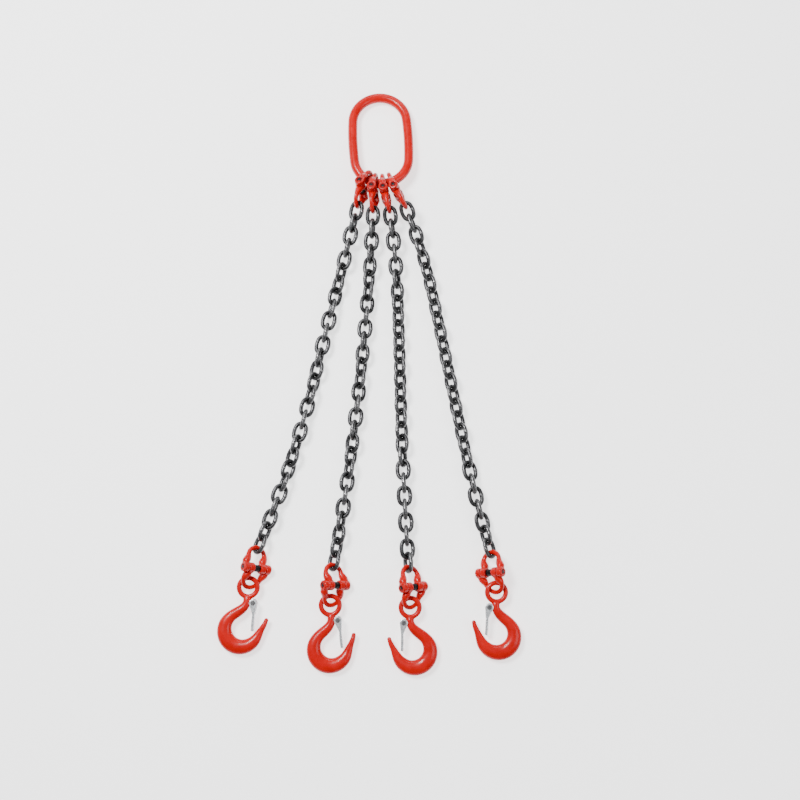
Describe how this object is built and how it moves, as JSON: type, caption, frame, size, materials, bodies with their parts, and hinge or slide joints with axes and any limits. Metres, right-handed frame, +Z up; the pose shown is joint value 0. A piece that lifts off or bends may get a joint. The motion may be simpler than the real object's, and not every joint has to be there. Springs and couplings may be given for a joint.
{
  "type": "four leg chain sling",
  "caption": "Four leg chain sling: oblong master link, jointed connecting links, chain legs and latched eye hooks, laid out flat.",
  "frame": {"origin": "on the ground, under the middle of the laid out sling's bounding box", "axes": "+Y from the hooks to the master link, +X to the right, +Z up from the ground"},
  "size_m": [0.5414, 1.0954, 0.0598],
  "materials": {
    "red_enamel": "glossy red enamel over a forging",
    "chain_steel": "dark oxide alloy steel",
    "zinc": "zinc plated pressed sheet",
    "black_steel": "black oxide steel",
    "rivet_steel": "plain steel rivet"
  },
  "bodies": {
    "master_link": {"master_link": "red_enamel"},
    "leg_1_ring_half": {"leg_1_upper_ring_half": "red_enamel", "leg_1_upper_pin": "black_steel"},
    "leg_1_chain_half": {"leg_1_upper_chain_half": "red_enamel"},
    "leg_1_chain_run_1": {"leg_1_chain_1": "chain_steel"},
    "leg_1_chain_run_2": {"leg_1_chain_2": "chain_steel"},
    "leg_1_chain_run_3": {"leg_1_chain_3": "chain_steel"},
    "leg_1_chain_run_4": {"leg_1_chain_4": "chain_steel"},
    "leg_1_lower_chain_half": {"leg_1_lower_chain_half": "red_enamel", "leg_1_lower_pin": "black_steel"},
    "leg_1_lower_hook_half": {"leg_1_lower_hook_half": "red_enamel"},
    "leg_1_hook": {"leg_1_hook": "red_enamel", "leg_1_latch_pin": "rivet_steel", "leg_1_latch_spring": "black_steel"},
    "leg_1_latch": {"leg_1_latch": "zinc"},
    "leg_2_ring_half": {"leg_2_upper_ring_half": "red_enamel", "leg_2_upper_pin": "black_steel"},
    "leg_2_chain_half": {"leg_2_upper_chain_half": "red_enamel"},
    "leg_2_chain_run_1": {"leg_2_chain_1": "chain_steel"},
    "leg_2_chain_run_2": {"leg_2_chain_2": "chain_steel"},
    "leg_2_chain_run_3": {"leg_2_chain_3": "chain_steel"},
    "leg_2_chain_run_4": {"leg_2_chain_4": "chain_steel"},
    "leg_2_lower_chain_half": {"leg_2_lower_chain_half": "red_enamel", "leg_2_lower_pin": "black_steel"},
    "leg_2_lower_hook_half": {"leg_2_lower_hook_half": "red_enamel"},
    "leg_2_hook": {"leg_2_hook": "red_enamel", "leg_2_latch_pin": "rivet_steel", "leg_2_latch_spring": "black_steel"},
    "leg_2_latch": {"leg_2_latch": "zinc"},
    "leg_3_ring_half": {"leg_3_upper_ring_half": "red_enamel", "leg_3_upper_pin": "black_steel"},
    "leg_3_chain_half": {"leg_3_upper_chain_half": "red_enamel"},
    "leg_3_chain_run_1": {"leg_3_chain_1": "chain_steel"},
    "leg_3_chain_run_2": {"leg_3_chain_2": "chain_steel"},
    "leg_3_chain_run_3": {"leg_3_chain_3": "chain_steel"},
    "leg_3_chain_run_4": {"leg_3_chain_4": "chain_steel"},
    "leg_3_lower_chain_half": {"leg_3_lower_chain_half": "red_enamel", "leg_3_lower_pin": "black_steel"},
    "leg_3_lower_hook_half": {"leg_3_lower_hook_half": "red_enamel"},
    "leg_3_hook": {"leg_3_hook": "red_enamel", "leg_3_latch_pin": "rivet_steel", "leg_3_latch_spring": "black_steel"},
    "leg_3_latch": {"leg_3_latch": "zinc"},
    "leg_4_ring_half": {"leg_4_upper_ring_half": "red_enamel", "leg_4_upper_pin": "black_steel"},
    "leg_4_chain_half": {"leg_4_upper_chain_half": "red_enamel"},
    "leg_4_chain_run_1": {"leg_4_chain_1": "chain_steel"},
    "leg_4_chain_run_2": {"leg_4_chain_2": "chain_steel"},
    "leg_4_chain_run_3": {"leg_4_chain_3": "chain_steel"},
    "leg_4_chain_run_4": {"leg_4_chain_4": "chain_steel"},
    "leg_4_lower_chain_half": {"leg_4_lower_chain_half": "red_enamel", "leg_4_lower_pin": "black_steel"},
    "leg_4_lower_hook_half": {"leg_4_lower_hook_half": "red_enamel"},
    "leg_4_hook": {"leg_4_hook": "red_enamel", "leg_4_latch_pin": "rivet_steel", "leg_4_latch_spring": "black_steel"},
    "leg_4_latch": {"leg_4_latch": "zinc"}
  },
  "joints": [
    {"name": "leg_1_coupling_on_master_link", "type": "hinge", "parent": "master_link", "child": "leg_1_ring_half", "pos_m": [-0.00669, 0.3678, 0.02378], "axis": [0.8571, -0.513, 0.048], "range_deg": [-30, 5]},
    {"name": "leg_1_upper_pin_turn", "type": "hinge", "parent": "leg_1_ring_half", "child": "leg_1_chain_half", "pos_m": [-0.01756, 0.34736, 0.02955], "axis": [0.1342, -0.3347, -0.9327], "range_deg": [-4, 50]},
    {"name": "leg_1_chain_at_upper_coupling", "type": "hinge", "parent": "leg_1_chain_half", "child": "leg_1_chain_run_1", "pos_m": [-0.02316, 0.31954, 0.03402], "axis": [0.9047, -0.3026, 0.2998], "range_deg": [-45, 25]},
    {"name": "leg_1_chain_bend_1", "type": "hinge", "parent": "leg_1_chain_run_1", "child": "leg_1_chain_run_2", "pos_m": [-0.06283, 0.15843, 0.01078], "axis": [-0.7966, 0.2607, 0.5455], "range_deg": [-20, 45]},
    {"name": "leg_1_chain_bend_2", "type": "hinge", "parent": "leg_1_chain_run_2", "child": "leg_1_chain_run_3", "pos_m": [-0.10268, -0.01256, 0.01153], "axis": [0.8486, -0.2414, 0.4707], "range_deg": [-45, 30]},
    {"name": "leg_1_chain_bend_3", "type": "hinge", "parent": "leg_1_chain_run_3", "child": "leg_1_chain_run_4", "pos_m": [-0.14623, -0.17407, 0.01019], "axis": [-0.7389, 0.3102, -0.5982], "range_deg": [-20, 45]},
    {"name": "leg_1_lower_coupling_on_chain", "type": "hinge", "parent": "leg_1_chain_run_4", "child": "leg_1_lower_chain_half", "pos_m": [-0.20029, -0.32354, 0.01483], "axis": [0.7586, -0.1066, -0.6428], "range_deg": [-60, 60]},
    {"name": "leg_1_lower_pin_turn", "type": "hinge", "parent": "leg_1_lower_chain_half", "child": "leg_1_lower_hook_half", "pos_m": [-0.20191, -0.36019, 0.02404], "axis": [-0.7586, 0.1066, 0.6428], "range_deg": [-50, 50]},
    {"name": "leg_1_hook_turn", "type": "hinge", "parent": "leg_1_lower_hook_half", "child": "leg_1_hook", "pos_m": [-0.21625, -0.39349, 0.01563], "axis": [-0.0072, -0.0566, 0.9984], "range_deg": [-50, 40]},
    {"name": "leg_1_latch_press", "type": "hinge", "parent": "leg_1_hook", "child": "leg_1_latch", "pos_m": [-0.20698, -0.42143, 0.01412], "axis": [0.0072, 0.0566, -0.9984], "range_deg": [0, 38], "stiffness_Nm_per_rad": 0.02, "springref_deg": -20.05},
    {"name": "leg_2_coupling_on_master_link", "type": "hinge", "parent": "master_link", "child": "leg_2_ring_half", "pos_m": [0.00781, 0.36189, 0.02436], "axis": [0.9723, -0.2324, 0.0243], "range_deg": [-10, 30]},
    {"name": "leg_2_upper_pin_turn", "type": "hinge", "parent": "leg_2_ring_half", "child": "leg_2_chain_half", "pos_m": [0.00459, 0.33897, 0.03012], "axis": [0.1217, -0.2584, -0.9583], "range_deg": [-2, 4]},
    {"name": "leg_2_chain_at_upper_coupling", "type": "hinge", "parent": "leg_2_chain_half", "child": "leg_2_chain_run_1", "pos_m": [0.00487, 0.31035, 0.0336], "axis": [-0.9458, 0.1244, -0.2998], "range_deg": [-20, 25]},
    {"name": "leg_2_chain_bend_1", "type": "hinge", "parent": "leg_2_chain_run_1", "child": "leg_2_chain_run_2", "pos_m": [-0.00527, 0.14467, 0.01247], "axis": [0.9246, -0.098, -0.3681], "range_deg": [-40, 30]},
    {"name": "leg_2_chain_bend_2", "type": "hinge", "parent": "leg_2_chain_run_2", "child": "leg_2_chain_run_3", "pos_m": [-0.01967, -0.0222, 0.012], "axis": [-0.895, 0.1321, 0.4261], "range_deg": [-35, 45]},
    {"name": "leg_2_chain_bend_3", "type": "hinge", "parent": "leg_2_chain_run_3", "child": "leg_2_chain_run_4", "pos_m": [-0.03901, -0.18846, 0.01271], "axis": [0.9297, -0.1514, -0.3357], "range_deg": [-45, 40]},
    {"name": "leg_2_lower_coupling_on_chain", "type": "hinge", "parent": "leg_2_chain_run_4", "child": "leg_2_lower_chain_half", "pos_m": [-0.06471, -0.35383, 0.01465], "axis": [-0.766, -0.0067, 0.6428], "range_deg": [-60, 60]},
    {"name": "leg_2_lower_pin_turn", "type": "hinge", "parent": "leg_2_lower_chain_half", "child": "leg_2_lower_hook_half", "pos_m": [-0.06018, -0.39025, 0.02404], "axis": [0.766, 0.0067, -0.6428], "range_deg": [-50, 50]},
    {"name": "leg_2_hook_turn", "type": "hinge", "parent": "leg_2_lower_hook_half", "child": "leg_2_hook", "pos_m": [-0.06944, -0.42529, 0.01563], "axis": [0.0025, -0.057, 0.9984], "range_deg": [-50, 40]},
    {"name": "leg_2_latch_press", "type": "hinge", "parent": "leg_2_hook", "child": "leg_2_latch", "pos_m": [-0.0556, -0.45127, 0.01412], "axis": [-0.0025, 0.057, -0.9984], "range_deg": [0, 38], "stiffness_Nm_per_rad": 0.02, "springref_deg": -20.05},
    {"name": "leg_3_coupling_on_master_link", "type": "hinge", "parent": "master_link", "child": "leg_3_ring_half", "pos_m": [0.02387, 0.36063, 0.02453], "axis": [0.9969, 0.0784, -0.0024], "range_deg": [-20, 20]},
    {"name": "leg_3_upper_pin_turn", "type": "hinge", "parent": "leg_3_ring_half", "child": "leg_3_chain_half", "pos_m": [0.02669, 0.33766, 0.0303], "axis": [0.1331, -0.2261, -0.965], "range_deg": [-2, 2]},
    {"name": "leg_3_chain_at_upper_coupling", "type": "hinge", "parent": "leg_3_chain_half", "child": "leg_3_chain_run_1", "pos_m": [0.03455, 0.31005, 0.03364], "axis": [0.9522, 0.0583, 0.2998], "range_deg": [-20, 20]},
    {"name": "leg_3_chain_bend_1", "type": "hinge", "parent": "leg_3_chain_run_1", "child": "leg_3_chain_run_2", "pos_m": [0.05071, 0.13666, 0.01109], "axis": [-0.8339, 0.0325, -0.551], "range_deg": [-40, 45]},
    {"name": "leg_3_chain_bend_2", "type": "hinge", "parent": "leg_3_chain_run_2", "child": "leg_3_chain_run_3", "pos_m": [0.05563, -0.03095, 0.0121], "axis": [0.743, 0.0152, -0.6691], "range_deg": [-45, 45]},
    {"name": "leg_3_chain_bend_3", "type": "hinge", "parent": "leg_3_chain_run_3", "child": "leg_3_chain_run_4", "pos_m": [0.06146, -0.19827, 0.01496], "axis": [-0.975, -0.051, -0.2162], "range_deg": [-45, 45]},
    {"name": "leg_3_lower_coupling_on_chain", "type": "hinge", "parent": "leg_3_chain_run_4", "child": "leg_3_lower_chain_half", "pos_m": [0.06995, -0.35721, 0.01634], "axis": [0.7618, 0.0801, -0.6428], "range_deg": [-60, 60]},
    {"name": "leg_3_lower_pin_turn", "type": "hinge", "parent": "leg_3_lower_chain_half", "child": "leg_3_lower_hook_half", "pos_m": [0.07885, -0.39332, 0.02404], "axis": [-0.7618, -0.0801, 0.6428], "range_deg": [-50, 50]},
    {"name": "leg_3_hook_turn", "type": "hinge", "parent": "leg_3_lower_hook_half", "child": "leg_3_hook", "pos_m": [0.07299, -0.42909, 0.01563], "axis": [0.0028, -0.057, 0.9984], "range_deg": [-40, 40]},
    {"name": "leg_3_latch_press", "type": "hinge", "parent": "leg_3_hook", "child": "leg_3_latch", "pos_m": [0.06161, -0.45624, 0.01412], "axis": [0.0028, -0.057, 0.9984], "range_deg": [0, 38], "stiffness_Nm_per_rad": 0.02, "springref_deg": -20.05},
    {"name": "leg_4_coupling_on_master_link", "type": "hinge", "parent": "master_link", "child": "leg_4_ring_half", "pos_m": [0.04012, 0.36463, 0.02426], "axis": [-0.9192, -0.3927, 0.0298], "range_deg": [-30, 20]},
    {"name": "leg_4_upper_pin_turn", "type": "hinge", "parent": "leg_4_ring_half", "child": "leg_4_chain_half", "pos_m": [0.04879, 0.34317, 0.03003], "axis": [0.2503, -0.1558, -0.9556], "range_deg": [-50, 1]},
    {"name": "leg_4_chain_at_upper_coupling", "type": "hinge", "parent": "leg_4_chain_half", "child": "leg_4_chain_run_1", "pos_m": [0.06302, 0.31822, 0.03361], "axis": [0.9098, 0.287, 0.2998], "range_deg": [-45, 30]},
    {"name": "leg_4_chain_bend_1", "type": "hinge", "parent": "leg_4_chain_run_1", "child": "leg_4_chain_run_2", "pos_m": [0.11477, 0.15217, 0.01147], "axis": [0.6955, 0.1302, 0.7066], "range_deg": [-45, 45]},
    {"name": "leg_4_chain_bend_2", "type": "hinge", "parent": "leg_4_chain_run_2", "child": "leg_4_chain_run_3", "pos_m": [0.1458, -0.00413, 0.01162], "axis": [-0.694, -0.1354, -0.7071], "range_deg": [-45, 45]},
    {"name": "leg_4_chain_bend_3", "type": "hinge", "parent": "leg_4_chain_run_3", "child": "leg_4_chain_run_4", "pos_m": [0.17846, -0.16853, 0.01291], "axis": [0.9329, 0.1763, -0.3139], "range_deg": [-45, 40]},
    {"name": "leg_4_lower_coupling_on_chain", "type": "hinge", "parent": "leg_4_chain_run_4", "child": "leg_4_lower_chain_half", "pos_m": [0.21791, -0.33118, 0.01482], "axis": [-0.765, -0.0401, -0.6428], "range_deg": [-60, 60]},
    {"name": "leg_4_lower_pin_turn", "type": "hinge", "parent": "leg_4_lower_chain_half", "child": "leg_4_lower_hook_half", "pos_m": [0.21586, -0.36785, 0.02404], "axis": [0.765, 0.0401, 0.6428], "range_deg": [-50, 50]},
    {"name": "leg_4_hook_turn", "type": "hinge", "parent": "leg_4_lower_hook_half", "child": "leg_4_hook", "pos_m": [0.22725, -0.40226, 0.01563], "axis": [-0.0009, -0.0571, 0.9984], "range_deg": [-50, 40]},
    {"name": "leg_4_latch_press", "type": "hinge", "parent": "leg_4_hook", "child": "leg_4_latch", "pos_m": [0.21413, -0.42862, 0.01412], "axis": [-0.0009, -0.0571, 0.9984], "range_deg": [0, 38], "stiffness_Nm_per_rad": 0.02, "springref_deg": -20.05}
  ]
}
